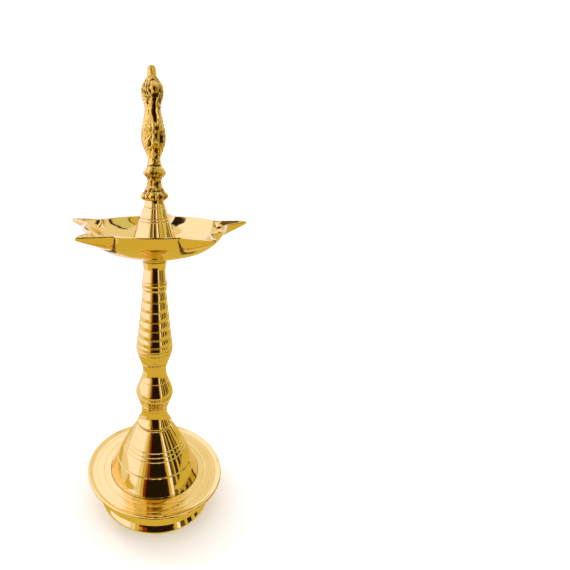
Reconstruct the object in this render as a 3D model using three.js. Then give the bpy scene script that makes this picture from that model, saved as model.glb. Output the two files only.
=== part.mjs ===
// A standing brass oil lamp (samai): a tray foot, a bell, two turned stem pieces, a dish with
// five wick spouts, a turned cone and a cast bird finial. The pieces screw together on five
// brass studs. Millimetres, +Z up, standing on z = 0.
import * as THREE from 'three';

const JOINT_GAP = 0.3;        // clearance between pieces that seat on each other
const BORE_CLEARANCE = 0.3;   // radial clearance of a stud in its hole

// heights of the seams between the screwed pieces
const BELL_TOP = 110.8;
const KNOP_TOP = 155.6;
const STEM_TOP = 254.1;
const DISH_BOSS_TOP = 271.0;
const CONE_FOOT = 261.9;
const CONE_TOP = 306.3;

// the dish and its five spouts
const RIM_RADIUS = 61.6;
const RIM_HEIGHT = 285.6;
const TIP_RADIUS = 84;
const TIP_HEIGHT = 286.5;
const SPOUT_COUNT = 5;
const SPOUT_PITCH = 360 / SPOUT_COUNT;
const FIRST_SPOUT = 12;       // degrees from +X
const SPOUT_HALF_ANGLE = 14;  // degrees, where a spout blends into the round rim
const SPOUT_CONCAVITY = 1.6;
const DISH_WALL = 2;
const KEEL_START = 52;        // radius where a spout's keel leaves the bowl
const KEEL_SLOPE = 0.38;
const BOWL = [                // underside of the bowl, [radius, height]
  [10.8, 255.0], [15.2, 256.6], [24, 259.3], [33.5, 262.1], [42, 264.9], [47.5, 267.8],
  [52, 271.3], [55, 274.3], [58, 278.2], [60.3, 282.2], [RIM_RADIUS, RIM_HEIGHT - DISH_WALL / 2],
];

// studs: [name, radius, bottom, top]
const STUDS = [
  ['bell_stud', 4, 98.4, 122.8],
  ['knop_stud', 4, 143.2, 167.6],
  ['stem_stud', 3, 243.2, 261.2],
  ['dish_stud', 3, 265.0, 283.6],
  ['finial_stud', 2.5, 296.8, 315.8],
];
const STUD_END_GAP = 0.8;     // free depth past each end of a stud
const STUD_CHAMFER = 0.7;

const ROUND_STEPS = 32;
const STEM_STEPS = 24;

const brass = (color, roughness) =>
  new THREE.MeshStandardMaterial({ color, roughness, metalness: 1 });
const polished = brass(0xe0b040, 0.12);
const satin = brass(0xe6c468, 0.38);
const cast = brass(0xc9982f, 0.42);

const radians = THREE.MathUtils.degToRad;

// A solid of revolution about Z from [radius, height] pairs, given counter-clockwise.
function turned(profile, steps) {
  const points = profile.map(([radius, height]) => new THREE.Vector2(radius, height));
  const geometry = new THREE.LatheGeometry(points, steps);
  return geometry.rotateX(Math.PI / 2);
}

// A closed skin of one outline per angle, its first and last points on the axis.
function swept(outlineAt, angles) {
  const outlines = angles.map(outlineAt);
  const inner = outlines[0].length - 2;
  const count = angles.length;
  const first = outlines[0][0];
  const last = outlines[0][inner + 1];
  const positions = [0, 0, first[1], 0, 0, last[1]];
  outlines.forEach((outline, column) => {
    for (const [radius, height] of outline.slice(1, -1)) {
      const angle = radians(angles[column]);
      positions.push(radius * Math.cos(angle), radius * Math.sin(angle), height);
    }
  });
  const at = (column, row) => 2 + (column % count) * inner + row;
  const faces = [];
  for (let column = 0; column < count; column += 1) {
    faces.push(0, at(column + 1, 0), at(column, 0));
    for (let row = 0; row < inner - 1; row += 1) {
      faces.push(at(column, row), at(column + 1, row), at(column + 1, row + 1));
      faces.push(at(column, row), at(column + 1, row + 1), at(column, row + 1));
    }
    faces.push(1, at(column, inner - 1), at(column + 1, inner - 1));
  }
  const geometry = new THREE.BufferGeometry();
  geometry.setAttribute('position', new THREE.Float32BufferAttribute(positions, 3));
  geometry.setIndex(faces);
  geometry.computeVertexNormals();
  return geometry;
}

// The radius of a rising outline at one height.
function radiusAt(outline, height) {
  for (let i = 1; i < outline.length; i += 1) {
    const [r0, z0] = outline[i - 1];
    const [r1, z1] = outline[i];
    if (height <= z1) return r0 + ((r1 - r0) * (height - z0)) / (z1 - z0);
  }
  return outline[outline.length - 1][0];
}

// Cuts small V grooves into a rising outline at the given heights.
function grooved(outline, heights, width = 1.2, depth = 0.5) {
  const cuts = heights.flatMap((height) => [
    [radiusAt(outline, height - width / 2), height - width / 2],
    [radiusAt(outline, height) - depth, height],
    [radiusAt(outline, height + width / 2), height + width / 2],
  ]);
  const clear = outline.filter(([, z]) => heights.every((h) => Math.abs(z - h) > width / 2));
  return [...clear, ...cuts].sort((a, b) => a[1] - b[1]);
}

// The hole for a stud that enters a piece through its top face or its bottom face.
function boreFromTop(studIndex, face) {
  const [, radius, bottom] = STUDS[studIndex];
  const wall = radius + BORE_CLEARANCE;
  return [[wall, face], [wall, bottom - STUD_END_GAP], [0, bottom - STUD_END_GAP]];
}

function boreFromBottom(studIndex, face) {
  const [, radius, , top] = STUDS[studIndex];
  const wall = radius + BORE_CLEARANCE;
  return [[0, top + STUD_END_GAP], [wall, top + STUD_END_GAP], [wall, face]];
}

function baseTray() {
  return turned([
    [51.9, 0], [56.1, 0], [56.1, 2.4], [54.7, 4.2], [53.8, 24], [55.4, 27.2], [61, 28.6],
    [68.4, 30.0], [69.9, 31.2], [69.7, 32.5], [68.4, 32.9], [66.6, 31.9], [60, 31.2],
    [46.2, 30.4], [46.2, 28.0], [41, 28.0], [41, 25.6], [49.6, 24.4], [50.9, 22.4], [51.2, 3],
    [51.9, 0],
  ], ROUND_STEPS);
}

function bell() {
  const hollow = [[0, 88.6], [8, 87], [13.4, 82], [21.6, 70.4], [29.8, 57], [36.8, 42.4], [42.2, 28.3]];
  const wall = grooved([
    [45.9, 28.3], [45.9, 30.6], [44.6, 33.4], [41.1, 41.4], [37.2, 50], [33.6, 57.6],
    [29.6, 65], [25.6, 72], [21.8, 78.4], [17.4, 85.4], [16.6, 86.2], [17.2, 88.2],
    [15.2, 91.6], [13.2, 96], [12.6, 100.8], [13.0, 104.6], [14.0, 108.6],
    [14.7, BELL_TOP - JOINT_GAP / 2],
  ], [48.0, 61.3, 65.0, 68.6]);
  return turned([...hollow, ...wall, ...boreFromTop(0, BELL_TOP - JOINT_GAP / 2)], ROUND_STEPS);
}

function knop() {
  const foot = BELL_TOP + JOINT_GAP / 2;
  const face = KNOP_TOP - JOINT_GAP / 2;
  const wall = grooved([
    [14.8, foot], [16.0, 114.6], [17.2, 118.0], [18.1, 121.6], [18.0, 124.0], [16.9, 128.4],
    [15.0, 132.8], [13.4, 137.2], [12.0, 141.4], [11.4, 146.4], [11.8, 151], [13.3, face],
  ], [121.8]);
  return turned([...boreFromBottom(0, foot), ...wall, ...boreFromTop(1, face)], STEM_STEPS);
}

function upperStem() {
  const foot = KNOP_TOP + JOINT_GAP / 2;
  const face = STEM_TOP - JOINT_GAP / 2;
  const wall = grooved([
    [13.5, foot], [15.0, 160.4], [16.6, 165.8], [17.2, 170], [17.0, 174.2], [16.4, 178],
    [16.5, 180.8], [15.8, 187], [14.6, 194.8], [13.6, 203.8], [12.6, 213.4], [11.4, 221.2],
    [10.7, 225.4], [10.9, 230], [11.3, 233.4], [10.9, 237], [10.1, 243.6], [9.9, 247.6],
    [10.4, 251.6], [10.9, face],
  ], [171.0, 182.7, 191.1, 199.3, 208.6, 218.5]);
  return turned([...boreFromBottom(1, foot), ...wall, ...boreFromTop(2, face)], STEM_STEPS);
}

// Degrees from the nearest spout's centre line.
function fromSpout(angle) {
  const turn = (angle - FIRST_SPOUT + 360 * 2 + SPOUT_PITCH / 2) % SPOUT_PITCH;
  return Math.abs(turn - SPOUT_PITCH / 2);
}

// How far the rim runs out towards a spout's tip: 0 on the round rim, 1 at the tip.
function reach(angle) {
  const inside = 1 - fromSpout(angle) / SPOUT_HALF_ANGLE;
  return inside > 0 ? inside ** SPOUT_CONCAVITY : 0;
}

// Height of the bowl's underside at a radius.
function bowlHeight(radius) {
  const after = BOWL.findIndex(([r]) => r >= radius - 1e-6);
  if (after < 1) return BOWL[Math.max(after, 0)][1];
  const [r0, z0] = BOWL[after - 1];
  const [r1, z1] = BOWL[after];
  return z0 + ((z1 - z0) * (radius - r0)) / (r1 - r0);
}

// Underside of the dish: the bowl, cut by a V channel under each spout.
function underside(radius, angle) {
  const inBowl = radius <= RIM_RADIUS + 1e-6;
  if (radius <= KEEL_START || fromSpout(angle) >= SPOUT_HALF_ANGLE) return bowlHeight(radius);
  const along = Math.max(0, (radius - RIM_RADIUS) / (TIP_RADIUS - RIM_RADIUS));
  const halfAngle = SPOUT_HALF_ANGLE * (1 - along ** (1 / SPOUT_CONCAVITY));
  const lip = RIM_HEIGHT - DISH_WALL / 2 + (TIP_HEIGHT - RIM_HEIGHT) * along;
  const run = radius - KEEL_START;
  const start = bowlHeight(KEEL_START);
  const whole = TIP_RADIUS - KEEL_START;
  const bend = (TIP_HEIGHT - DISH_WALL / 2 - start - KEEL_SLOPE * whole) / whole ** 2;
  const keel = start + KEEL_SLOPE * run + bend * run ** 2;
  const side = halfAngle > 0 ? Math.min(1, fromSpout(angle) / halfAngle) : 1;
  const channel = keel + (lip - keel) * side;
  return inBowl ? Math.min(bowlHeight(radius), channel) : channel;
}

// The other side of a wall: every point of an outline moved square to it.
function inset(outline, wall) {
  return outline.map(([radius, height], i) => {
    const [r0, z0] = outline[Math.max(0, i - 1)];
    const [r1, z1] = outline[Math.min(outline.length - 1, i + 1)];
    const length = Math.hypot(r1 - r0, z1 - z0);
    return [radius - (wall * (z1 - z0)) / length, height + (wall * (r1 - r0)) / length];
  });
}

function dish() {
  const foot = STEM_TOP + JOINT_GAP / 2;
  const fan = [0, 2, 4.5, 8, SPOUT_HALF_ANGLE, 24];
  const offsets = [...fan.slice(1).map((offset) => -offset).reverse(), ...fan, SPOUT_PITCH / 2];
  const angles = [];
  for (let spout = 0; spout < SPOUT_COUNT; spout += 1) {
    angles.push(...offsets.map((offset) => FIRST_SPOUT + SPOUT_PITCH * spout + offset));
  }
  const innerRadii = [15.2, 24, 33.5, 42, 47.5, KEEL_START];
  const outerShares = [0.3, 0.6, 0.82, 1];
  const outlineAt = (angle) => {
    const rim = RIM_RADIUS + (TIP_RADIUS - RIM_RADIUS) * reach(angle);
    const radii = [...innerRadii, ...outerShares.map((s) => KEEL_START + (rim - KEEL_START) * s)];
    const below = radii.map((radius) => [radius, underside(radius, angle)]);
    const above = inset(below, DISH_WALL).reverse();
    const lipTop = RIM_HEIGHT + (TIP_HEIGHT - RIM_HEIGHT) * reach(angle);
    above[0] = [rim - DISH_WALL * 0.8, lipTop];
    return [
      ...boreFromBottom(2, foot), [10.6, foot], BOWL[0], ...below, [rim, lipTop - 0.5],
      ...above, [8.6, 258.4], [8.2, DISH_BOSS_TOP], ...boreFromTop(3, DISH_BOSS_TOP),
    ];
  };
  return swept(outlineAt, angles);
}

function cone() {
  const roof = DISH_BOSS_TOP + JOINT_GAP;
  const wall = grooved([
    [23.8, CONE_FOOT], [21.3, 268.6], [18.6, 275.3], [16.0, 282], [14.0, 287.5], [12.2, 292.6],
    [10.5, 297.6], [9.3, 301.2], [8.4, 303.6], [7.8, CONE_TOP - JOINT_GAP / 2],
  ], [289.1, 291.4, 300.7], 1.0, 0.4);
  const bore = boreFromBottom(3, roof);
  const top = boreFromTop(4, CONE_TOP - JOINT_GAP / 2);
  return turned([...bore, [9.4, roof], [19.4, CONE_FOOT], ...wall, ...top], STEM_STEPS);
}

// The bird's outline: [height, half width, depth in front, depth behind].
const BIRD = [
  [307.2, 10.2, 10.2, 10.2], [309.6, 11.2, 11.2, 11.2], [311.6, 10.6, 10.6, 10.6],
  [313.6, 8.8, 8.8, 8.8], [316.8, 7.0, 7.0, 7.0], [320.6, 5.9, 5.9, 5.9],
  [323.8, 6.8, 6.8, 6.8], [326.4, 8.9, 8.9, 8.9], [328.4, 9.4, 9.4, 9.4],
  [330.6, 8.4, 8.4, 8.4], [334.2, 6.2, 6.2, 6.4], [338.4, 5.4, 5.8, 6.4],
  [342.6, 6.1, 7.2, 8.4], [347.0, 8.0, 9.2, 11.4], [351.2, 9.3, 10.4, 13.6],
  [355.6, 9.7, 10.6, 14.2], [360.0, 9.4, 10.0, 13.4], [365.0, 8.4, 8.8, 11.4],
  [370.0, 7.5, 7.6, 9.2], [375.6, 6.1, 7.0, 7.4], [380.0, 7.0, 8.4, 7.4],
  [384.0, 8.2, 10.6, 8.2], [388.8, 8.8, 11.4, 8.4], [392.2, 8.0, 10.2, 7.8],
  [395.6, 5.8, 6.6, 6.4], [398.4, 3.8, 4.0, 4.6], [402.0, 3.6, 3.8, 4.4],
  [404.8, 2.6, 2.8, 3.2],
];
const BIRD_TOP = 406;
const BIRD_FACES = -78;       // the way the bird looks, degrees from +X

function birdFinial() {
  const foot = CONE_TOP + JOINT_GAP / 2;
  const angles = Array.from({ length: 16 }, (_, index) => index * 22.5);
  const outlineAt = (angle) => {
    const turn = radians(angle - BIRD_FACES);
    const skin = BIRD.map(([height, width, front, back]) => {
      const depth = Math.cos(turn) > 0 ? front : back;
      const radius = 1 / Math.hypot(Math.cos(turn) / depth, Math.sin(turn) / width);
      return [radius, height];
    });
    return [...boreFromBottom(4, foot), [8.6, foot], ...skin, [0, BIRD_TOP]];
  };
  return swept(outlineAt, angles);
}

function stud([, radius, bottom, top]) {
  const tip = radius - STUD_CHAMFER;
  return turned([
    [0, bottom], [tip, bottom], [radius, bottom + STUD_CHAMFER], [radius, top - STUD_CHAMFER],
    [tip, top], [0, top],
  ], 12);
}

function named(name, geometry, material) {
  const mesh = new THREE.Mesh(geometry, material);
  mesh.name = name;
  return mesh;
}

// The box round the spout tips isn't centred on the lamp's axis, so the lamp stands off the
// origin by half the difference.
const tipAngles = Array.from({ length: SPOUT_COUNT }, (_, k) => radians(FIRST_SPOUT + SPOUT_PITCH * k));
const middle = (values) => (TIP_RADIUS * (Math.max(...values) + Math.min(...values))) / 2;

const lamp = new THREE.Group();
lamp.position.set(-middle(tipAngles.map(Math.cos)), -middle(tipAngles.map(Math.sin)), 0);
lamp.add(
  named('base_tray', baseTray(), satin),
  named('bell', bell(), polished),
  named('knop', knop(), polished),
  named('upper_stem', upperStem(), polished),
  named('dish', dish(), polished),
  named('cone', cone(), polished),
  named('bird_finial', birdFinial(), cast),
  ...STUDS.map((row) => named(row[0], stud(row), polished)),
);

export default lamp;
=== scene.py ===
"""Looks of the standing brass oil lamp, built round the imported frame. Metres, +Z up.

Outlines are written in millimetres as (radius, height) pairs about the lamp's own axis.
"""

import math

import bpy
import bmesh
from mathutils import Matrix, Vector, noise


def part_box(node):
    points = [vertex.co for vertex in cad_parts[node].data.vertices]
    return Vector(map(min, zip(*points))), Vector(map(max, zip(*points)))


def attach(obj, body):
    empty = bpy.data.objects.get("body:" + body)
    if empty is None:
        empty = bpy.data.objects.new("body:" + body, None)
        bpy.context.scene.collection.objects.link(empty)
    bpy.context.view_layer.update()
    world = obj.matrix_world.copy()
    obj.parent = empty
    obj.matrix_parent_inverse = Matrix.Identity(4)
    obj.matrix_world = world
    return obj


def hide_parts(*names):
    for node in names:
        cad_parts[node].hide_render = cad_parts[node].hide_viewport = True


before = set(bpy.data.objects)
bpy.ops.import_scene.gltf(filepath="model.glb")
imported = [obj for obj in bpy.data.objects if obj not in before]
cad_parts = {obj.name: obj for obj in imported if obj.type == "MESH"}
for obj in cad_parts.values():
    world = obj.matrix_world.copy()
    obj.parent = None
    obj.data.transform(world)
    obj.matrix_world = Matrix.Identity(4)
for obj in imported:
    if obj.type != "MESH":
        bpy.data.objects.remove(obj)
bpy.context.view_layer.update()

MM = 0.001

# the lamp's axis, from the tray, which is round
tray_low, tray_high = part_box("base_tray")
AXIS = Vector(((tray_low[0] + tray_high[0]) / 2, (tray_low[1] + tray_high[1]) / 2, 0))

# seams between the screwed pieces (mm)
SEAM_GAP = 0.1
SEAM_BEVEL = 0.45
BELL_TOP = 110.8
KNOP_TOP = 155.6
STEM_TOP = 254.1
DISH_BOSS_TOP = 271.0
CONE_FOOT = 261.9
CONE_TOP = 306.3

# the reeds of the upper stem: heights of the grooves, and the radius at each end (mm)
BAND_EDGES = (175.6, 182.9, 191.1, 199.5, 208.6, 217.8, 227.4)
BAND_RADII = (16.7, 10.6)

# the dish and its five spouts (mm, degrees)
RIM_RADIUS = 61.6
RIM_HEIGHT = 285.6
TIP_RADIUS = 84.0
TIP_HEIGHT = 286.5
SPOUT_COUNT = 5
SPOUT_PITCH = 360 / SPOUT_COUNT
FIRST_SPOUT = 12
SPOUT_HALF_ANGLE = 14
SPOUT_CONCAVITY = 1.6
TIP_BLUNTNESS = 0.11
TIP_DEPTH = 1.8               # how thick the blunt end of a spout is
CHANNEL_FULLNESS = 3.4        # 1 is a V channel and more is a rounder one
DISH_WALL = 2.0
KEEL_START = 52.0
KEEL_SLOPE = 0.38
CREASE_SOFTNESS = 0.9
CREASE_WIDTH = 2.6
CREASE_PAINTED_SHADE = 2.6          # painted shade in the crease where a spout's channel meets the bowl; over 1, so that the middle of a crease is evenly dark
BOWL_POINTS = (
    (10.8, 255.0), (15.2, 256.6), (24, 259.3), (33.5, 262.1), (42, 264.9), (47.5, 267.8),
    (52, 271.3), (55, 274.3), (58, 278.2), (60.3, 282.2), (RIM_RADIUS, RIM_HEIGHT - 1.0),
)

# studs: node, body, radius, bottom, top (mm)
STUDS = (
    ("bell_stud", "bell_screw", 4.0, 98.4, 122.8),
    ("knop_stud", "knop_screw", 4.0, 143.2, 167.6),
    ("stem_stud", "stem_screw", 3.0, 243.2, 261.2),
    ("dish_stud", "dish_screw", 3.0, 265.0, 283.6),
    ("finial_stud", "finial_screw", 2.5, 296.8, 315.8),
)
BORE_CLEARANCE = 0.3          # radial clearance of a stud in its hole
STUD_END_GAP = 0.8            # free depth past each end of a stud
STUD_CHAMFER = 1.1
THREAD_PITCH = 1.5
THREAD_DEPTH = 0.75

# the cast bird on its lotus: height, half width, depth in front and behind (mm)
BIRD = (
    (306.5, 9.3, 9.3, 9.3), (307.4, 10.5, 10.5, 10.5), (309.4, 11.2, 11.2, 11.2),
    (311.2, 10.6, 10.6, 10.6), (313.4, 8.8, 8.8, 8.8), (316.8, 7.0, 7.0, 7.0),
    (320.6, 5.9, 5.9, 5.9), (323.8, 6.6, 6.6, 6.6), (326.4, 8.7, 8.7, 8.7),
    (328.4, 9.3, 9.3, 9.3), (330.6, 8.2, 8.2, 8.2), (334.2, 6.0, 6.0, 6.2),
    (338.4, 5.2, 5.6, 6.2), (342.6, 6.1, 7.0, 8.4), (347.0, 8.0, 9.0, 11.2),
    (351.2, 9.2, 10.2, 13.2), (355.6, 9.5, 10.4, 13.6), (360.0, 9.2, 9.8, 12.8),
    (365.0, 8.2, 8.6, 11.0), (370.0, 7.2, 7.4, 8.8), (375.6, 6.2, 6.9, 7.2),
    (380.0, 7.0, 8.2, 7.2), (384.0, 8.2, 10.2, 8.0), (388.8, 8.7, 10.8, 8.2),
    (392.2, 7.9, 9.8, 7.6), (395.6, 5.7, 6.4, 6.2), (398.4, 3.9, 4.2, 4.6),
    (402.0, 3.5, 3.7, 4.2), (404.4, 3.1, 3.3, 3.6), (405.6, 2.0, 2.1, 2.2),
    (406.0, 0.5, 0.5, 0.5),
)
BIRD_LOOKS = -78              # the way the bird looks, degrees from +X
BIRD_LEANS = 0.031            # how far the casting leans to the left for each mm of height
LEANS_FROM = 331.0
CAST_DRIFT = 0.9              # how far the mould blurs its pattern out of true (mm)
CAST_ROUGHNESS = 0.26         # height of the lumps left by the sand mould (mm)
CAST_SEED = 1                 # keeps the noise in the casting the same on every run

# vertices round a piece, and the distance between its rows (mm)
COLUMNS = 192
BIRD_COLUMNS = 216
BIRD_SPACING = 0.3
STUD_COLUMNS = 48
STUD_SPACING = 0.15

# how much tarnish lies in a cut, from 0 to 1, and its colour, which is also the colour of the
# painted shade in the creases under the dish's spouts
GROOVE_TARNISH = 0.25
SEAM_TARNISH = 0.25
TARNISH_AND_PAINTED_SHADE = (0.17, 0.085, 0.018)

# the studio (m, degrees)
ROOM_RADIUS = 0.9             # the closed room of cards
ROOM_HEIGHT = 2.0
OPENING_DISTANCE = 0.88       # dark cards just inside the room's wall
OPENING_FOOT = 1.1
PERSON_DISTANCE = 0.46        # cards that stand for somebody in front of the lamp
LEG_TOP = 0.09
ARC_STEP = 6                  # angle between the vertices of a bent card
CAMERA_PLACE = (0, -0.3444, 0.3382)
CAMERA_TILT = 70.7
CAMERA_LENS = 25.26
CAMERA_SHIFT = (0.229, 0.026)


# ---------------------------------------------------------------- outlines


def curve_through(points, spacing=0.8):
    """A smooth outline through the points, with points about spacing mm apart."""
    ends = [points[0], *points, points[-1]]
    out = []
    for a, b, c, d in zip(ends, ends[1:], ends[2:], ends[3:]):
        steps = max(1, round(math.dist(b, c) / spacing))
        for i in range(steps):
            t = i / steps
            out.append(tuple(
                0.5 * (2 * q + (r - p) * t + (2 * p - 5 * q + 4 * r - s) * t**2
                       + (3 * q - p - 3 * r + s) * t**3)
                for p, q, r, s in zip(a, b, c, d)
            ))
    out.append(tuple(points[-1]))
    return out


def radius_at(outline, height):
    """Radius of a rising outline at a height."""
    for (r0, z0), (r1, z1) in zip(outline, outline[1:]):
        if z0 <= height <= z1:
            return r0 + (r1 - r0) * (height - z0) / max(z1 - z0, 1e-6)
    return outline[-1][0]


def carved(outline, marks):
    """Cuts turned grooves. Each mark is (height, half width, depth). Returns (radius, height,
    recess) rows: recess is how much tarnish lies there, and it shades the brass."""
    shares = (-1.6, -1.15, -0.85, -0.6, -0.35, -0.15, 0, 0.15, 0.35, 0.6, 0.85, 1.15, 1.6)
    heights = {round(z, 4): r for r, z in outline}
    low, high = outline[0][1], outline[-1][1]
    for centre, half, _ in marks:
        for share in shares:
            z = centre + share * half
            if low < z < high:
                heights[round(z, 4)] = radius_at(outline, z)
    rows = []
    for z in sorted(heights):
        radius, recess = heights[z], 0.0
        for centre, half, depth in marks:
            away = abs(z - centre) / half
            if away < 1:
                shape = 0.5 + 0.5 * math.cos(math.pi * away)
                radius -= depth * shape
                recess = max(recess, GROOVE_TARNISH * shape)
        rows.append((radius, z, recess))
    return rows


def plain(points, recess=0.0):
    """Adds one recess to every point of an outline."""
    return [(radius, height, recess) for radius, height in points]


# ---------------------------------------------------------------- mesh making


def finished(name, verts, faces, recesses, material, body, slot, *nodes, crease=38):
    """Makes a closed mesh object that rides on a body and stands for CAD nodes."""
    mesh = bpy.data.meshes.new(name)
    mesh.from_pydata(verts, [], faces)
    mesh.validate()
    shade = mesh.attributes.new("recess", "FLOAT", "POINT")
    shade.data.foreach_set("value", recesses)
    obj = bpy.data.objects.new(name, mesh)
    bpy.context.scene.collection.objects.link(obj)
    work = bmesh.new()
    work.from_mesh(mesh)
    bmesh.ops.recalc_face_normals(work, faces=work.faces)
    work.to_mesh(mesh)
    work.free()
    mesh.polygons.foreach_set("use_smooth", [True] * len(mesh.polygons))
    mesh.set_sharp_from_angle(angle=math.radians(crease))
    mesh.materials.append(material)
    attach(obj, body)
    if nodes:
        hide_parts(*nodes)


def swept(outline_at, angles):
    """Vertices, faces and recesses of a closed skin with one outline per angle, in degrees.
    The outlines start and end on the axis."""
    outlines = [outline_at(angle) for angle in angles]
    rows = len(outlines[0]) - 2
    count = len(angles)
    first, last = outlines[0][0], outlines[0][-1]
    verts = [AXIS + Vector((0, 0, first[1] * MM)), AXIS + Vector((0, 0, last[1] * MM))]
    recesses = [first[2], last[2]]
    for angle, outline in zip(angles, outlines):
        cos, sin = math.cos(math.radians(angle)), math.sin(math.radians(angle))
        for radius, height, recess in outline[1:-1]:
            verts.append(AXIS + Vector((radius * cos, radius * sin, height)) * MM)
            recesses.append(recess)
    faces = []
    for column in range(count):
        here = 2 + column * rows
        there = 2 + (column + 1) % count * rows
        faces.append((0, there, here))
        faces.append((1, here + rows - 1, there + rows - 1))
        for row in range(rows - 1):
            faces.append((here + row, there + row, there + row + 1, here + row + 1))
    return verts, faces, recesses


def turned(name, outline, material, body, slot, *nodes):
    """A solid of revolution from rows that start and end on the axis."""
    angles = [360 * i / COLUMNS for i in range(COLUMNS)]
    skin = swept(lambda angle: outline, angles)
    finished(name, *skin, material, body, slot, *nodes)


def turned_ring(name, outline, material, body, slot, *nodes):
    """A ring of revolution from a closed loop of rows that never touches the axis."""
    rows = len(outline)
    verts, faces, recesses = [], [], []
    for column in range(COLUMNS):
        angle = 2 * math.pi * column / COLUMNS
        for radius, height, recess in outline:
            spot = Vector((radius * math.cos(angle), radius * math.sin(angle), height))
            verts.append(AXIS + spot * MM)
            recesses.append(recess)
        here, there = column * rows, (column + 1) % COLUMNS * rows
        for row in range(rows):
            after = (row + 1) % rows
            faces.append((here + row, there + row, there + after, here + after))
    finished(name, verts, faces, recesses, material, body, slot, *nodes)


# ---------------------------------------------------------------- materials


class Nodes:
    """Short calls for building one material's nodes."""

    def __init__(self, name):
        self.material = bpy.data.materials.new(name)
        self.material.use_nodes = True
        self.tree = self.material.node_tree
        self.shader = self.tree.nodes["Principled BSDF"]

    def add(self, kind, **values):
        """A new node with its settings."""
        node = self.tree.nodes.new(kind)
        for key, value in values.items():
            setattr(node, key, value)
        return node

    def link(self, source, target):
        """Joins two sockets."""
        self.tree.links.new(source, target)

    def math(self, operation, a, b):
        """One operation on two sockets or numbers."""
        node = self.add("ShaderNodeMath", operation=operation)
        for socket, value in zip(node.inputs, (a, b)):
            if isinstance(value, (int, float)):
                socket.default_value = value
            else:
                self.link(value, socket)
        return node.outputs[0]

    def noise(self, vector, scale, detail=2.0, roughness=0.5):
        """Cloudy noise in space."""
        node = self.add("ShaderNodeTexNoise")
        node.inputs["Scale"].default_value = scale
        node.inputs["Detail"].default_value = detail
        node.inputs["Roughness"].default_value = roughness
        self.link(vector, node.inputs["Vector"])
        return node.outputs["Fac"]

    def ring_noise(self, distance, scale, detail=2.0):
        """Noise that is the same all along a turning line."""
        node = self.add("ShaderNodeTexNoise", noise_dimensions="1D")
        node.inputs["Scale"].default_value = scale
        node.inputs["Detail"].default_value = detail
        self.link(distance, node.inputs["W"])
        return node.outputs["Fac"]

    def remap(self, value, low, high, to_low, to_high):
        """Moves a value from one range to another and keeps it inside."""
        node = self.add("ShaderNodeMapRange")
        self.link(value, node.inputs["Value"])
        for key, number in zip(
            ("From Min", "From Max", "To Min", "To Max"), (low, high, to_low, to_high)
        ):
            node.inputs[key].default_value = number
        return node.outputs["Result"]

    def mix(self, share, a, b):
        """A colour between two others."""
        node = self.add("ShaderNodeMix", data_type="RGBA")
        self.link(share, node.inputs["Factor"])
        for socket, value in ((node.inputs["A"], a), (node.inputs["B"], b)):
            if isinstance(value, tuple):
                socket.default_value = (*value, 1)
            else:
                self.link(value, socket)
        return node.outputs["Result"]

    def bump(self, height, strength, distance, normal=None):
        """A surface raised by a height, on top of an earlier bump."""
        node = self.add("ShaderNodeBump")
        node.inputs["Strength"].default_value = strength
        node.inputs["Distance"].default_value = distance
        self.link(height, node.inputs["Height"])
        if normal is not None:
            self.link(normal, node.inputs["Normal"])
        return node.outputs["Normal"]

    def place(self):
        """Where a point lies on its piece."""
        return self.add("ShaderNodeTexCoord").outputs["Object"]

    def lathe_distance(self, place):
        """Height plus distance from the lamp's axis: the same along any turning line."""
        shift = self.add("ShaderNodeVectorMath", operation="SUBTRACT")
        self.link(place, shift.inputs[0])
        shift.inputs[1].default_value = AXIS
        parts = self.add("ShaderNodeSeparateXYZ")
        self.link(shift.outputs[0], parts.inputs[0])
        square = self.math(
            "ADD",
            self.math("MULTIPLY", parts.outputs[0], parts.outputs[0]),
            self.math("MULTIPLY", parts.outputs[1], parts.outputs[1]),
        )
        return self.math("ADD", self.math("SQRT", square, 0), parts.outputs[2])

    def recess(self):
        """How deep in a groove or hollow a point lies, which sets its tarnish, and its painted
        shade in the dish's creases and the bird's sunk relief.
        """
        return self.add("ShaderNodeAttribute", attribute_name="recess").outputs["Fac"]


def turned_brass(name, light, warm, dull, ring_depth, smudge):
    """Brass off the lathe: turning lines, faint smudges, tarnish in the grooves, and painted shade
    in the creases under the dish's spouts.
    """
    n = Nodes(name)
    place = n.place()
    distance = n.lathe_distance(place)
    cloud = n.math("ADD", n.noise(place, 38, 3), n.ring_noise(distance, 520, 3))
    tone = n.remap(cloud, 0.45, 1.55, 0, 1)
    clean = n.mix(tone, light, warm)
    # tarnish in the grooves and seams, and painted shade in the creases under the dish's spouts
    dirt_and_painted_shade = n.math("MULTIPLY", n.recess(), n.remap(n.noise(place, 260, 4), 0.3, 0.6, 0.35, 1))
    spots = n.remap(n.noise(place, 640, 2), 0.73, 0.78, 0, 0.5)
    stain_and_painted_shade = n.math("MAXIMUM", dirt_and_painted_shade, spots)
    n.link(n.mix(stain_and_painted_shade, clean, TARNISH_AND_PAINTED_SHADE), n.shader.inputs["Base Color"])
    smears = n.remap(n.noise(place, 70, 5, 0.62), 0.4, 0.72, 0, smudge)
    lines = n.remap(n.ring_noise(distance, 1500, 3), 0.3, 0.7, 0, smudge * 0.6)
    rough = n.math("ADD", n.math("ADD", smears, lines), dull)
    rough = n.math("ADD", rough, n.math("MULTIPLY", stain_and_painted_shade, 0.3))
    n.link(rough, n.shader.inputs["Roughness"])
    fine = n.bump(n.ring_noise(distance, 2200, 2), 1.0, ring_depth)
    broad = n.bump(n.ring_noise(distance, 210, 2), 1.0, ring_depth * 6, fine)
    hand = n.bump(n.noise(place, 55, 2), 1.0, 0.00012, broad)
    n.link(hand, n.shader.inputs["Normal"])
    n.shader.inputs["Metallic"].default_value = 1.0
    return n.material


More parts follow.
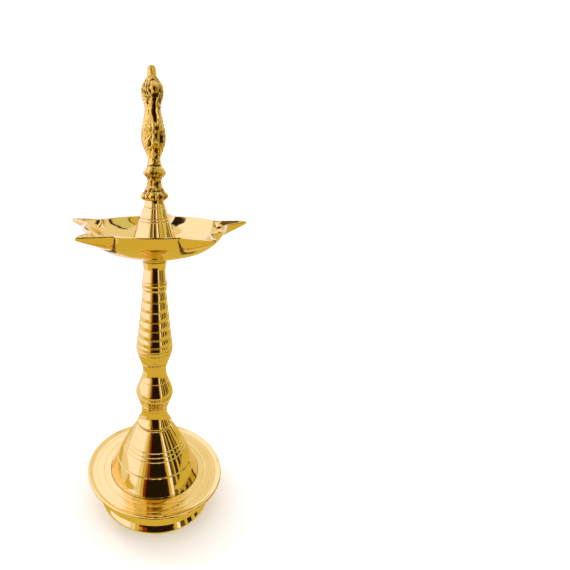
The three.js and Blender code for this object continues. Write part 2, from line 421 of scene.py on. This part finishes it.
def cast_brass(name):
    """Sand-cast brass: grainy, bright on the high spots and dark in the recesses, where the dark is
    partly dirt in the casting's pits and partly painted shade in the sunk relief.
    """
    n = Nodes(name)
    place = n.place()
    grain = n.noise(place, 600, 3, 0.55)
    blotch = n.remap(n.noise(place, 160, 3), 0.35, 0.68, 0, 1)
    clean = n.mix(blotch, (0.86, 0.65, 0.14), (0.57, 0.395, 0.045))
    # near-black in the recesses: dirt in the casting's pits, and painted shade in the sunk relief
    dark = n.remap(
        n.math("ADD", n.recess(), n.math("MULTIPLY", grain, 0.2)), 0.4, 0.9, 0, 0.96
    )
    n.link(n.mix(dark, clean, (0.09, 0.036, 0.006)), n.shader.inputs["Base Color"])
    rough = n.math("ADD", n.remap(grain, 0.3, 0.7, 0.09, 0.18), n.math("MULTIPLY", dark, 0.3))
    n.link(rough, n.shader.inputs["Roughness"])
    coarse = n.bump(n.noise(place, 380, 2, 0.5), 1.0, 0.00005)
    fine = n.bump(grain, 1.0, 0.000025, coarse)
    n.link(fine, n.shader.inputs["Normal"])
    n.shader.inputs["Metallic"].default_value = 1.0
    return n.material


def floor_paint(name):
    """A pale matt floor."""
    n = Nodes(name)
    place = n.place()
    tone = n.mix(n.noise(place, 3, 2), (0.93, 0.925, 0.915), (0.96, 0.955, 0.945))
    n.link(tone, n.shader.inputs["Base Color"])
    n.shader.inputs["Roughness"].default_value = 0.7
    n.link(n.bump(n.noise(place, 400, 2), 0.2, 0.0001), n.shader.inputs["Normal"])
    return n.material


def glow(name, colour):
    """A card that only gives light."""
    n = Nodes(name)
    card = n.add("ShaderNodeEmission")
    card.inputs["Color"].default_value = (*colour, 1)
    n.link(card.outputs[0], n.tree.nodes["Material Output"].inputs["Surface"])
    return n.material


POLISHED = turned_brass(
    "polished_brass", (0.875, 0.70, 0.25), (0.79, 0.605, 0.17), 0.035, 0.000005, 0.05
)
SATIN = turned_brass(
    "satin_brass", (0.88, 0.71, 0.26), (0.815, 0.635, 0.19), 0.03, 0.000004, 0.05
)
CAST = cast_brass("cast_brass")
THREAD = turned_brass("thread_brass", (0.86, 0.61, 0.22), (0.78, 0.52, 0.16), 0.2, 0.000004, 0.1)


# ---------------------------------------------------------------- turned pieces


def bore_from_top(stud, face):
    """The rows of a stud's hole that opens in a piece's top face."""
    _, _, radius, bottom, _ = stud
    wall, floor = radius + BORE_CLEARANCE, bottom - STUD_END_GAP
    return plain([(wall, face), (wall, floor), (0, floor)])


def bore_from_bottom(stud, face):
    """The rows of a stud's hole that opens in a piece's bottom face."""
    _, _, radius, _, top = stud
    wall, roof = radius + BORE_CLEARANCE, top + STUD_END_GAP
    return plain([(0, roof), (wall, roof), (wall, face)])


def seam(radius, face):
    """The bevelled edge of a piece where it meets its neighbour."""
    return plain([(radius - SEAM_BEVEL, face)], SEAM_TARNISH)


def fine_line(radius):
    """1 on one of the fine lines turned in the tray's top, and 0 beside it."""
    away = min(abs(radius - line) for line in (64.6, 60.2, 52.6))
    return max(0, 1 - away / 0.5)


def base_tray():
    """The drum foot, the tray's rim and top, and the seat that the bell stands in."""
    foot = curve_through([
        (56.4, 0), (57.2, 0.5), (57.5, 1.2), (57.2, 2.0), (56.1, 3.8), (54.9, 5.8), (54.0, 7.8),
        (53.4, 10.5), (53.2, 14), (53.6, 17.6), (55.0, 20.8), (56.6, 22.8), (56.9, 24.3),
        (56.1, 25.8), (55.9, 27.2),
    ], 0.5)
    under = curve_through([(55.9, 27.2), (60, 28.3), (65, 29.2), (68.2, 29.9), (69.5, 30.7)], 1.0)
    lip = curve_through([(69.9, 31.5), (69.7, 32.4), (69.0, 32.9), (68.2, 32.8), (67.4, 32.3)], 0.3)
    top = curve_through([
        (66.6, 31.9), (64, 31.45), (58, 30.9), (52, 30.5), (48, 30.4), (46.1, 30.4),
    ], 0.8)
    top = [(r, z - 0.16 * fine_line(r), GROOVE_TARNISH * fine_line(r)) for r, z in top]
    seat = plain([(46.1, 30.4), (46.1, 28.0), (41, 28.0), (41, 25.6), (49.6, 24.4)], 0.5)
    inside = plain([(50.9, 22.4), (51.2, 3), (51.9, 0)], 0.6)
    rows = [*plain(foot), *plain(under[1:]), *plain(lip), *top[:-1], *seat, *inside]
    turned_ring("tray_foot", rows, SATIN, "base", "satin_brass", "base_tray")


def bell():
    """The hollow bell, with its grooves and the collar at its neck."""
    hollow = curve_through([
        (0.01, 88.6), (8, 87), (13.4, 82), (21.6, 70.4), (29.8, 57), (36.8, 42.4),
        (42.2, 28.3),
    ], 2.0)
    wall = curve_through([
        (45.8, 28.3), (45.9, 30.2), (45.4, 31.7), (43.9, 34.9), (41.1, 41.4), (37.4, 49.6),
        (33.6, 57.6), (29.6, 65), (25.6, 72), (21.6, 78.8), (18.6, 83.6), (17.2, 85.5),
    ])
    collar = curve_through([
        (16.4, 85.9), (16.7, 86.6), (17.3, 87.4), (17.1, 88.9), (16.0, 90.4), (14.7, 92.6),
        (13.5, 95.6), (12.8, 98.6), (12.6, 101.2), (12.9, 104.4), (13.7, 108),
        (14.6, BELL_TOP - SEAM_GAP - SEAM_BEVEL),
    ], 0.5)
    marks = [
        (48.0, 0.75, 0.5), (61.3, 0.6, 0.5), (65.0, 0.6, 0.5), (68.6, 0.6, 0.5),
    ]
    rows = [
        (0, 88.6, 0.5), *plain(hollow[1:], 0.5), *carved(wall, marks), *plain(collar[:3], 0.7),
        *plain(collar[3:]), *seam(14.6, BELL_TOP - SEAM_GAP),
        *bore_from_top(STUDS[0], BELL_TOP - SEAM_GAP),
    ]
    turned("bell_dome", rows, POLISHED, "base", "polished_brass", "bell")


def knop():
    """The short stem piece with the round knop."""
    foot, face = BELL_TOP + SEAM_GAP, KNOP_TOP - SEAM_GAP
    wall = curve_through([
        (14.7, foot + SEAM_BEVEL), (15.9, 114.6), (17.2, 118.0), (18.05, 121.2),
        (18.15, 123.4), (17.6, 126),
        (16.4, 129.6), (14.9, 133.4), (13.3, 137.4), (12.0, 141.4), (11.5, 144.8), (11.4, 147.6),
        (11.8, 151), (12.6, 153.6), (13.2, face - SEAM_BEVEL),
    ], 0.6)
    marks = [(120.2, 0.6, 0.5), (122.0, 0.55, 0.4), (136.4, 0.5, 0.35), (113.4, 0.4, 0.2)]
    rows = [
        *bore_from_bottom(STUDS[0], foot), *seam(14.7, foot), *carved(wall, marks),
        *seam(13.2, face), *bore_from_top(STUDS[1], face),
    ]
    turned("stem_knop", rows, POLISHED, "knop", "polished_brass", "knop")


def banded_radius(height):
    """The reeded stretch of the upper stem: a taper with a slight swell in each band."""
    low, high = BAND_EDGES[0], BAND_EDGES[-1]
    widest, narrowest = BAND_RADII
    taper = widest + (narrowest - widest) * ((height - low) / (high - low)) ** 0.92
    for low, high in zip(BAND_EDGES, BAND_EDGES[1:]):
        if low <= height <= high:
            share = (height - low) / (high - low)
            return taper + 0.32 * math.sin(math.pi * share) ** 0.8 - 0.22 * share
    return taper


def upper_stem():
    """The long stem piece: a foot, the reeds and a neck with two thin rings."""
    foot, face = KNOP_TOP + SEAM_GAP, STEM_TOP - SEAM_GAP
    lower = curve_through([
        (13.3, foot + SEAM_BEVEL), (14.4, 159.0), (15.6, 162.6), (16.6, 165.8),
        (17.1, 168.4), (17.3, 170.6), (17.2, 173.2), (16.8, 175.5),
    ], 0.6)
    reeds = [(banded_radius(175.8 + 0.4 * i), 175.8 + 0.4 * i) for i in range(129)]
    upper = curve_through([
        (10.75, 227.6), (11.25, 228.6), (11.35, 230.0), (11.0, 231.4), (11.6, 232.8),
        (11.75, 234.2), (11.3, 235.6), (10.6, 238.4), (10.15, 243.6), (9.95, 247.6),
        (10.2, 250.6), (10.7, 252.8), (10.85, face - SEAM_BEVEL),
    ], 0.5)
    marks = [(167.0, 0.6, 0.5), (170.8, 0.6, 0.5), (175.6, 0.7, 0.6)]
    marks += [(height, 0.65, 0.45) for height in BAND_EDGES[1:-1]]
    marks += [(227.4, 0.6, 0.5), (231.5, 0.6, 0.45), (235.9, 0.55, 0.45)]
    rows = [
        *bore_from_bottom(STUDS[1], foot), *seam(13.3, foot),
        *carved([*lower, *reeds, *upper], marks), *seam(10.85, face),
        *bore_from_top(STUDS[2], face),
    ]
    turned("stem_upper", rows, POLISHED, "upper_stem", "polished_brass", "upper_stem")


def cone():
    """The turned cone in the middle of the dish."""
    face = CONE_TOP - SEAM_GAP
    wall = curve_through([
        (24.0, CONE_FOOT), (23.4, 263.6), (21.4, 268.4), (18.6, 275.3), (16.1, 282),
        (14.0, 287.8), (12.2, 292.8), (10.7, 297.4), (9.5, 301.0), (8.5, 304.0), (8.1, face),
    ], 0.6)
    marks = [(289.2, 0.5, 0.35), (291.5, 0.5, 0.35), (300.6, 0.5, 0.3), (268.2, 0.6, 0.4)]
    rows = [
        *bore_from_bottom(STUDS[3], DISH_BOSS_TOP + 0.3), *plain([(9.4, DISH_BOSS_TOP + 0.3)]),
        *plain([(19.4, CONE_FOOT)]), *carved(wall, marks), *bore_from_top(STUDS[4], face),
    ]
    turned("wick_cone", rows, POLISHED, "cone", "polished_brass", "cone")


# ---------------------------------------------------------------- the dish


def from_spout(angle):
    """Degrees from the nearest spout's centre line."""
    return abs((angle - FIRST_SPOUT + SPOUT_PITCH / 2) % SPOUT_PITCH - SPOUT_PITCH / 2)


def reach(angle):
    """0 where the rim is round, 1 at a spout's tip."""
    away = from_spout(angle) / SPOUT_HALF_ANGLE
    blunted = math.hypot(away, TIP_BLUNTNESS) - TIP_BLUNTNESS * max(0.0, 1 - away)
    return max(0.0, 1 - blunted) ** SPOUT_CONCAVITY if away < 1 else 0.0


def soft_least(a, b, softness):
    """The smaller of two heights, rounded where they cross."""
    gap = max(0.0, 1 - abs(a - b) / softness)
    return min(a, b) - gap**2 * softness / 4


BOWL = curve_through(BOWL_POINTS, 0.5)


def bowl_height(radius):
    """Height of the bowl's underside at a radius."""
    for (r0, z0), (r1, z1) in zip(BOWL, BOWL[1:]):
        if radius <= r1:
            return z0 + (z1 - z0) * (radius - r0) / max(r1 - r0, 1e-6)
    return BOWL[-1][1]


def underside(radius, angle):
    """Height of the dish's underside, the bowl cut by a channel under each spout, and the painted
    shade in the crease between the two."""
    if radius <= KEEL_START - 2 or from_spout(angle) >= SPOUT_HALF_ANGLE:
        return bowl_height(radius), 0.0
    along = max(0.0, (radius - RIM_RADIUS) / (TIP_RADIUS - RIM_RADIUS))
    half = SPOUT_HALF_ANGLE * max(1e-3, 1 - along ** (1 / SPOUT_CONCAVITY))
    lip = RIM_HEIGHT - DISH_WALL / 2 + (TIP_HEIGHT - RIM_HEIGHT) * along
    start = bowl_height(KEEL_START)
    whole = TIP_RADIUS - KEEL_START
    bend = (TIP_HEIGHT - DISH_WALL / 2 - TIP_DEPTH - start - KEEL_SLOPE * whole) / whole**2
    run = radius - KEEL_START
    keel = start + KEEL_SLOPE * run + bend * run**2
    side = min(1.0, from_spout(angle) / half)
    channel = keel + (lip - keel) * side**CHANNEL_FULLNESS
    if radius >= RIM_RADIUS:
        return channel, 0.0
    # painted shade: the brass is darkened along the crease where the bowl meets the channel
    crease = CREASE_PAINTED_SHADE * max(0.0, 1 - abs(bowl_height(radius) - channel) / CREASE_WIDTH)
    return soft_least(bowl_height(radius), channel, CREASE_SOFTNESS), crease


def inset(outline, wall):
    """The other side of a wall: every point moved square to the outline."""
    out = []
    last = len(outline) - 1
    for i, (radius, height) in enumerate(outline):
        r0, z0 = outline[max(0, i - 1)]
        r1, z1 = outline[min(last, i + 1)]
        length = max(math.hypot(r1 - r0, z1 - z0), 1e-9)
        out.append((radius - wall * (z1 - z0) / length, height + wall * (r1 - r0) / length))
    return out


def dish_outline(angle):
    """The dish's rows at one angle: neck, underside, lip, inside and boss."""
    foot = STEM_TOP + SEAM_GAP
    rim = RIM_RADIUS + (TIP_RADIUS - RIM_RADIUS) * reach(angle)
    lip_top = RIM_HEIGHT + (TIP_HEIGHT - RIM_HEIGHT) * reach(angle)
    inner = [15.2 + (KEEL_START - 2 - 15.2) * i / 16 for i in range(17)]
    outer = [KEEL_START - 2 + (rim - KEEL_START + 2) * i / 34 for i in range(1, 35)]
    below = [(radius, *underside(radius, angle)) for radius in [*inner, *outer]]
    above = [
        (radius, min(height, lip_top - 0.2))
        for radius, height in inset([row[:2] for row in below], DISH_WALL)[:-1]
    ]
    edge = [(rim + 0.1, lip_top - 0.7), (rim - 0.15, lip_top - 0.15), (rim - 0.7, lip_top)]
    edge.append((rim - DISH_WALL * 0.8, lip_top - 0.05))
    fold = from_spout(angle) < 2
    rows = [
        *bore_from_bottom(STUDS[2], foot), (10.5, foot, 0.5), (10.8, foot + 0.3, 0.3),
        (10.9, 255.0, 0.15), (12.8, 255.8, 0),
    ]
    rows += below
    rows += plain(edge)
    rows += [
        (radius, height, 0.4 if fold and 50 < radius < 58 else 0)
        for radius, height in reversed(above)
    ]
    rows += plain([(9.2, 257.6), (8.4, 258.6), (8.2, DISH_BOSS_TOP)], 0.5)
    return rows + bore_from_top(STUDS[3], DISH_BOSS_TOP)


def dish():
    """The oil dish, with more columns near the spouts."""
    fan = [0.35 * i for i in range(44)] + [16.5 + 1.3 * i for i in range(15)]
    offsets = [-offset for offset in reversed(fan[1:])] + fan + [SPOUT_PITCH / 2]
    angles = [
        FIRST_SPOUT + SPOUT_PITCH * spout + offset
        for spout in range(SPOUT_COUNT) for offset in offsets
    ]
    skin = swept(dish_outline, angles)
    finished("spouted_dish", *skin, POLISHED, "dish", "polished_brass", "dish", crease=50)


# ---------------------------------------------------------------- the cast bird


def cap(side, rise, half_side, half_rise):
    """A smooth mound: 1 in the middle of an ellipse and 0 outside it."""
    away = (side / half_side) ** 2 + (rise / half_rise) ** 2
    return (1 - away) ** 1.5 if away < 1 else 0.0


def ridge(value, centre, half):
    """1 on a line and 0 from half a width beside it."""
    away = abs(value - centre) / half
    return 0.5 + 0.5 * math.cos(math.pi * away) if away < 1 else 0.0


def between(value, low, high, soft=1.5):
    """1 between two limits, with soft ends outside them."""
    return max(0.0, min(1.0, 1 + (value - low) / soft, 1 + (high - value) / soft))


def face_relief(side, height):
    """The smooth round face, the groove round it, the folds of the hood and the beak's root."""
    away = math.hypot((side + 0.2) / 3.8, (height - 389.4) / 4.9)
    relief = 1.5 * max(0.0, 1 - away**2) ** 0.7 - 0.75 * ridge(away, 1.16, 0.24)
    folds = between(away, 1.5, 2.6, 0.2) * between(height, 383, 396, 2)
    relief -= 0.5 * folds * (0.5 + 0.5 * math.cos(2 * math.pi * (away - 1.62) / 0.52))
    return relief - 1.5 * cap(side - 0.5, height - 384.3, 3.0, 1.6)


def strand_relief(side, height):
    """The long beak down the neck: two bright ridges with a deep slot between them."""
    long = between(height, 364.5, 383.5)
    relief = 1.1 * long * (ridge(side, -2.3, 1.1) + ridge(side, 2.4, 1.1))
    relief -= 2.3 * ridge(side, 0.1, 1.55) * between(height, 366, 382.5, 0.8)
    relief -= 1.6 * cap(side - 4.9, height - 380.6, 1.5, 3.0)
    relief -= 1.1 * cap(side - 5.0, height - 375.2, 1.2, 1.5)
    relief -= 0.9 * cap(side + 5.2, height - 379.5, 1.3, 2.2)
    return relief - 0.7 * cap(side + 4.8, height - 372.5, 1.0, 2.6)


def breast_relief(side, height):
    """The breast's ridge and hollows, the feet folded under it and the legs."""
    relief = 0.9 * ridge(side, -2.2, 1.2) * between(height, 350, 364)
    relief -= 1.7 * cap(side - 1.2, height - 361.2, 2.0, 2.4)
    relief -= 1.4 * cap(side - 0.2, height - 355.4, 1.4, 3.0)
    relief -= 2.0 * cap(side - 4.7, height - 353.6, 2.3, 4.4)
    relief -= 1.2 * cap(side + 5.2, height - 350.4, 1.4, 3.4)
    relief += 1.5 * cap(side + 0.2, height - 349.6, 2.8, 2.6)
    relief -= 1.6 * cap(side - 0.4, height - 345.0, 2.2, 2.3)
    relief += 0.8 * between(height, 339, 345) * (ridge(side, -2.6, 1.2) + ridge(side, 2.8, 1.2))
    return relief - 1.3 * cap(side - 0.7, height - 340.2, 1.6, 1.8)


def feathers(along, across, row_height):
    """Rows of overlapping feathers with rounded tips, each row half a feather on."""
    row = along / row_height
    column = across + 0.5 * (math.floor(row) % 2)
    edge = abs(column % 1 - 0.5) * 2
    fall = (row + 0.45 * (1 - edge**2)) % 1
    return 0.5 - fall - 0.35 * ridge(edge, 1, 0.3)


def wing_relief(turn, side, height):
    """A folded wing on each flank: small feathers on the shoulder, long ones that slant back."""
    from_middle = abs(turn) - 88
    plate = 1 - (from_middle / 56) ** 2 - ((height - 356) / 17) ** 2
    if plate <= 0:
        return 0.0
    plate = min(1.0, plate * 3.5)
    slant = height + 0.5 * abs(side)
    if height > 361:
        pattern = 0.9 * feathers(height, turn / 24, 2.7)
    else:
        pattern = 1.0 * feathers(slant, abs(side) / 3.4, 3.1)
    return plate * (0.12 + 0.5 * pattern)


def hood_relief(turn, height):
    """Small feathers on the back and the lower part of the head, fading to a smooth crown."""
    share = between(height, 374, 385, 3) if abs(turn) < 60 else between(height, 373, 390, 3)
    share *= between(abs(turn), 40, 180, 12)
    return 0.36 * share * feathers(height, turn / 22.5, 2.5)


def tail_relief(turn, height):
    """Long tail feathers down the back, between the wings."""
    share = between(180 - abs(turn), -1, 30, 6) * between(height, 340, 372, 2)
    shaft = (turn % 360 - 180) / 10
    return share * (0.75 * math.cos(math.pi * shaft) ** 2 - 0.35 * ridge(height % 5.5, 2.7, 0.7))


def lotus_relief(turn, height):
    """Petals: a flared row at the foot, an upright row above it and a lobed knop."""
    foot = between(height, 308, 313.5, 3) * (0.32 * math.cos(math.radians(14 * turn)) - 0.12)
    stem = between(height, 315, 321, 2) * 0.3 * math.cos(math.radians(7 * turn + 40))
    knop = between(height, 326, 331, 2) * (0.26 * math.cos(math.radians(10 * turn + 15)) - 0.1)
    rings = ridge(height, 324.2, 0.9) + ridge(height, 333.4, 0.9) + 0.8 * ridge(height, 313.8, 0.8)
    return 1.4 * foot + stem + knop - 0.7 * rings - 1.2 * cap(turn / 9 - 0.6, height - 319, 2.6, 4)


def bird_relief(turn, side, height):
    """All of the casting's detail at one place. turn is degrees from the way the bird looks,
    side is the distance from the same line along the skin, both positive to its left."""
    if height < 336:
        return lotus_relief(turn, height)
    relief = wing_relief(turn, side, height) + tail_relief(turn, height)
    relief += hood_relief(turn, height)
    if abs(turn) < 100:
        relief += face_relief(side, height) + strand_relief(side, height)
        relief += breast_relief(side, height)
    return relief


def bird_finial():
    """The cast finial: the bird's outline with all of its relief, leaned over a little."""
    noise.seed_set(CAST_SEED)
    rows = curve_through(BIRD, BIRD_SPACING)
    bore = bore_from_bottom(STUDS[4], BIRD[0][0])

    def outline_at(angle):
        """The casting's rows at one angle."""
        turn = (angle - BIRD_LOOKS + 180) % 360 - 180
        cos, sin = math.cos(math.radians(turn)), math.sin(math.radians(turn))
        skin = []
        for height, width, front, back in rows:
            radius = 1 / math.hypot(cos / (front if cos > 0 else back), sin / width)
            side = math.radians(turn) * radius
            fade = between(radius, 4, 99, 3) * between(height, 307.5, 404, 1)
            spot = Vector((radius * cos, radius * sin, height))
            drift = noise.noise_vector(spot * 0.28) * CAST_DRIFT
            relief = bird_relief(turn + 4 * drift.y, side + drift.x, height + drift.z) * fade
            lumps = noise.noise(spot * 0.42) + 0.4 * noise.noise(spot * 1.05)
            # dark where the relief sinks and in low lumps: dirt in the casting's pits, and painted
            # shade in the sunk relief
            pit_dirt_and_painted_shade = max(0.0, min(1.0, -1.1 * relief - 0.9 * lumps))
            skin.append((radius + relief + CAST_ROUGHNESS * lumps * fade, height, pit_dirt_and_painted_shade))
        return [*bore, *skin, (0, rows[-1][0], 0)]

    angles = [360 * i / BIRD_COLUMNS for i in range(BIRD_COLUMNS)]
    verts, faces, recesses = swept(outline_at, angles)
    for spot in verts:
        spot.x -= BIRD_LEANS * max(0.0, spot.z - LEANS_FROM * MM)
    finished(
        "bird_casting", verts, faces, recesses, CAST, "finial", "cast_brass", "bird_finial",
        crease=75,
    )


# ---------------------------------------------------------------- threaded studs


def stud(node, body, radius, bottom, top):
    """A threaded rod: the skin's radius follows the helix, and the ends are chamfered."""
    rows = round((top - bottom) / STUD_SPACING)
    end_radius = radius - STUD_CHAMFER

    def outline_at(angle):
        """The thread's rows at one angle."""
        out = [(0, bottom, 0), (end_radius, bottom, 0)]
        for i in range(rows + 1):
            height = bottom + (top - bottom) * i / rows
            turn = (height / THREAD_PITCH - angle / 360) % 1
            cut = THREAD_DEPTH * min(1, max(0, 1.25 - 2.5 * abs(turn - 0.5)))
            end = min(height - bottom, top - height)
            reached = min(radius - cut, end_radius + end)
            out.append((reached, height, 0.9 * cut / THREAD_DEPTH))
        return [*out, (end_radius, top, 0), (0, top, 0)]

    skin = swept(outline_at, [360 * i / STUD_COLUMNS for i in range(STUD_COLUMNS)])
    finished(f"{node}_thread", *skin, THREAD, body, "thread_brass", node, crease=60)


# ---------------------------------------------------------------- stage and camera


def staged(name, verts, faces, material, seen):
    """A flat or bent sheet that isn't part of the lamp. One that isn't seen is a studio card:
    it shows only in reflections."""
    mesh = bpy.data.meshes.new(name)
    mesh.from_pydata(verts, [], faces)
    mesh.materials.append(material)
    sheet = bpy.data.objects.new(name, mesh)
    bpy.context.scene.collection.objects.link(sheet)
    if not seen:
        sheet.visible_camera = False
        sheet.visible_diffuse = False
        sheet.visible_shadow = False


def arc(low_angle, high_angle):
    """Evenly spaced angles in radians from one to the other, both in degrees."""
    steps = max(2, round((high_angle - low_angle) / ARC_STEP))
    return [
        math.radians(low_angle + (high_angle - low_angle) * i / steps) for i in range(steps + 1)
    ]


def panel(name, low_angle, high_angle, distance, low, high, material):
    """A standing card that curves round the lamp. Angles are in degrees from the front,
    positive to the right."""
    verts = []
    for angle in arc(low_angle, high_angle):
        x, y = AXIS.x + distance * math.sin(angle), AXIS.y - distance * math.cos(angle)
        verts += [(x, y, low), (x, y, high)]
    faces = [(i, i + 2, i + 3, i + 1) for i in range(0, len(verts) - 2, 2)]
    staged(name, verts, faces, material, False)


def sector(name, low_angle, high_angle, inner, outer, height, material):
    """A level card between two angles and two distances."""
    verts = []
    for angle in arc(low_angle, high_angle):
        for distance in (inner, outer):
            spot = Vector((distance * math.sin(angle), -distance * math.cos(angle), height))
            verts.append(AXIS + spot)
    faces = [(i, i + 1, i + 3, i + 2) for i in range(0, len(verts) - 2, 2)]
    staged(name, verts, faces, material, False)


def slab(name, size, height, material, seen=False):
    """A level square sheet round the lamp's axis."""
    corners = ((-size, -size), (size, -size), (size, size), (-size, size))
    verts = [AXIS + Vector((x, y, height)) for x, y in corners]
    staged(name, verts, [(0, 1, 2, 3)], material, seen)


def studio():
    """A white surround, and a closed room of cards for the brass to reflect."""
    scene = bpy.context.scene
    scene.view_settings.view_transform = "Standard"
    scene.view_settings.look = "None"
    world = bpy.data.worlds.new("studio")
    world.use_nodes = True
    sky = world.node_tree.nodes["Background"]
    sky.inputs["Color"].default_value = (1.0, 0.99, 0.98, 1)
    sky.inputs["Strength"].default_value = 1.2
    scene.world = world
    slab("floor", 6.0, 0.0, floor_paint("floor_paint"), seen=True)
    dark = glow("card_dark", (0.018, 0.01, 0.006))
    red = glow("card_red", (0.3, 0.035, 0.015))
    brown = glow("card_brown", (0.13, 0.09, 0.05))
    amber = glow("card_amber", (0.46, 0.315, 0.085))
    mid = glow("card_mid", (0.76, 0.565, 0.145))
    hazy = glow("card_hazy", (0.78, 0.73, 0.5))
    pale = glow("card_pale", (1.0, 0.88, 0.95))
    rose = glow("card_rose", (1.15, 0.8, 1.0))
    bright = glow("card_bright", (1.35, 1.17, 1.85))
    slab("card_floor", 0.95, 0.0006, mid)
    sector("card_floor_left", -180, -72, 0.24, ROOM_RADIUS, 0.0009, pale)
    slab("card_ceiling", 0.95, ROOM_HEIGHT, pale)
    panel("card_legs", -20, 33, PERSON_DISTANCE, 0.0, LEG_TOP, dark)
    panel("card_body", -13, 31, PERSON_DISTANCE, LEG_TOP, 0.5, dark)
    panel("card_head", -4, 7, PERSON_DISTANCE, 0.5, 0.8, dark)
    panel("card_doorway", -72, -43, OPENING_DISTANCE, OPENING_FOOT, ROOM_HEIGHT, dark)
    panel("card_curtain", -43, -37, OPENING_DISTANCE, OPENING_FOOT, ROOM_HEIGHT, brown)
    panel("card_shelf", 27, 36, OPENING_DISTANCE, OPENING_FOOT, ROOM_HEIGHT, dark)
    panel("card_hem", -26, -20, PERSON_DISTANCE, 0.0, LEG_TOP, red)
    panel("card_sleeve", -20, -13, PERSON_DISTANCE, LEG_TOP, 0.42, red)
    around = (
        (-180, -150, bright), (-150, -132, rose), (-132, -44, bright), (-44, -34, pale),
        (-34, -26, mid), (-26, 35, amber), (35, 40, mid), (40, 46, bright), (46, 55, brown),
        (55, 60, mid), (60, 69, dark), (69, 76, mid),
        (76, 84, dark), (84, 92, amber), (92, 98, brown), (98, 112, mid), (112, 118, dark),
        (118, 180, pale),
    )
    above = (
        (-180, -37, bright), (-37, -27, pale), (-27, -18, brown), (-18, -9, amber),
        (-9, 7, pale), (7, 15, amber), (15, 25, bright), (25, 32, brown), (32, 56, mid),
        (56, 60, brown), (60, 96, hazy), (96, 103, dark), (103, 180, pale),
    )
    for level, cards, low, high in (("wall", around, 0, 0.64), ("upper", above, 0.62, ROOM_HEIGHT)):
        for index, (start, end, paint) in enumerate(cards):
            panel(f"card_{level}_{index}", start, end, ROOM_RADIUS, low, high, paint)


def lights():
    """Two soft lamps that shape the floor's shadow and stay out of the reflections."""
    for name, place, size, power, colour in (
        ("key_left", (-0.75, 0.5, 0.9), 0.35, 2.4, (1.0, 0.97, 0.92)),
        ("fill_right", (0.8, -0.35, 0.8), 0.25, 0.5, (1.0, 0.97, 0.93)),
    ):
        lamp = bpy.data.lights.new(name, "AREA")
        lamp.size = size
        lamp.energy = power
        lamp.color = colour
        holder = bpy.data.objects.new(name, lamp)
        holder.location = AXIS + Vector(place)
        aim = AXIS + Vector((0, 0, 0.2)) - holder.location
        holder.rotation_euler = aim.to_track_quat("-Z", "Y").to_euler()
        holder.visible_glossy = False
        bpy.context.scene.collection.objects.link(holder)


def camera():
    """A close view from a little above the dish, with the lamp left of the middle."""
    lens = bpy.data.cameras.new("camera")
    lens.sensor_width = 36
    lens.lens = CAMERA_LENS
    lens.shift_x, lens.shift_y = CAMERA_SHIFT
    lens.clip_start = 0.01
    lens.dof.use_dof = False
    holder = bpy.data.objects.new("camera", lens)
    holder.location = AXIS + Vector(CAMERA_PLACE)
    holder.rotation_euler = (math.radians(CAMERA_TILT), 0, 0)
    bpy.context.scene.collection.objects.link(holder)
    bpy.context.scene.camera = holder


camera()
studio()
lights()
base_tray()
bell()
knop()
upper_stem()
cone()
dish()
bird_finial()
for row in STUDS:
    stud(*row)
